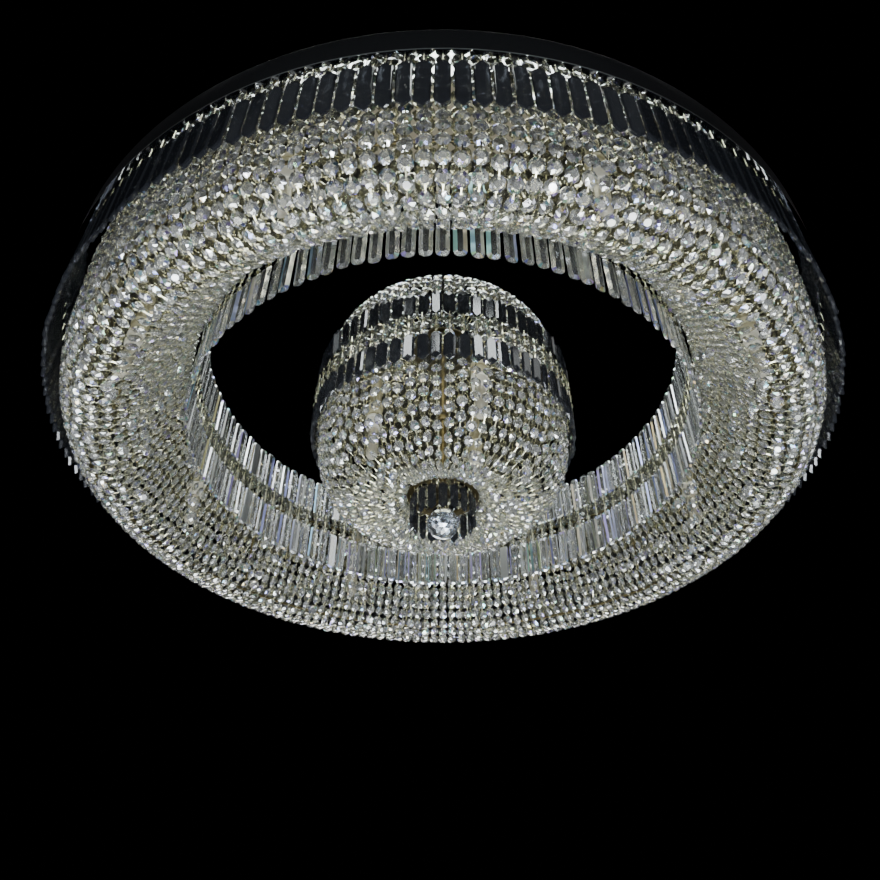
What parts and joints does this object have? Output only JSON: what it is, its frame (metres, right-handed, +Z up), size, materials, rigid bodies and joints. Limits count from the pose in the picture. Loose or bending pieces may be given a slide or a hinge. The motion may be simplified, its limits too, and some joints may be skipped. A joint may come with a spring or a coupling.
{
  "type": "crystal flush mount ceiling light",
  "caption": "Round ceiling light with a mirror base, a ring of draped bead chains between smoked and clear prisms, and a beaded centre bowl with a hanging crystal ball.",
  "frame": {"origin": "centre of the ceiling face, at the top of the base pan", "axes": "+Z up, towards the ceiling; the light hangs towards -Z; -Y is the side that the picture shows nearest"},
  "size_m": [0.9999, 1, 0.2346],
  "materials": {
    "pan_paint": "dark grey satin",
    "mirror_steel": "mirror polished",
    "steel": "zinc plated",
    "rubber": "matt",
    "block_plastic": "matt",
    "gold_brass": "pale gold plated",
    "smoked_glass": "smoked grey, polished",
    "clear_glass": "clear, cut and polished",
    "bead_glass": "clear, cut and polished",
    "holder_ceramic": "matt ceramic",
    "bulb_glass": "frosted cream"
  },
  "bodies": {
    "fixture": {"rim_wall": "pan_paint", "mirror_plate": "mirror_steel", "ceiling_cross": "steel", "cable_grommet": "rubber", "terminal_block": "block_plastic", "hanging_studs": "steel", "cap_nuts": "gold_brass", "skirt_pins": "gold_brass", "skirt_prisms": "smoked_glass", "inner_beads": "clear_glass", "inner_prisms": "clear_glass", "ring_chains": "bead_glass", "chain_hoop": "gold_brass", "hoop_rods": "gold_brass", "centre_beads": "clear_glass", "centre_prisms": "smoked_glass", "bowl_chains": "bead_glass", "centre_stem": "gold_brass", "stem_nut": "steel", "bottom_ring": "gold_brass", "short_pins": "gold_brass", "short_prisms": "smoked_glass", "stem_eye": "gold_brass", "ring_lampholders": "holder_ceramic", "ring_bulbs": "bulb_glass", "centre_lampholders": "holder_ceramic", "centre_bulbs": "bulb_glass"},
    "hanging_link": {"jump_link": "gold_brass"},
    "hanging_ball": {"ball_loop": "gold_brass", "crystal_ball": "clear_glass"}
  },
  "joints": [
    {"name": "link_swing", "type": "hinge", "parent": "fixture", "child": "hanging_link", "pos_m": [0, 0, -0.1842], "axis": [1, 0, 0], "range_deg": [-20, 20]},
    {"name": "ball_swing", "type": "hinge", "parent": "hanging_link", "child": "hanging_ball", "pos_m": [0, 0, -0.1899], "axis": [0, 1, 0], "range_deg": [-20, 20]}
  ]
}
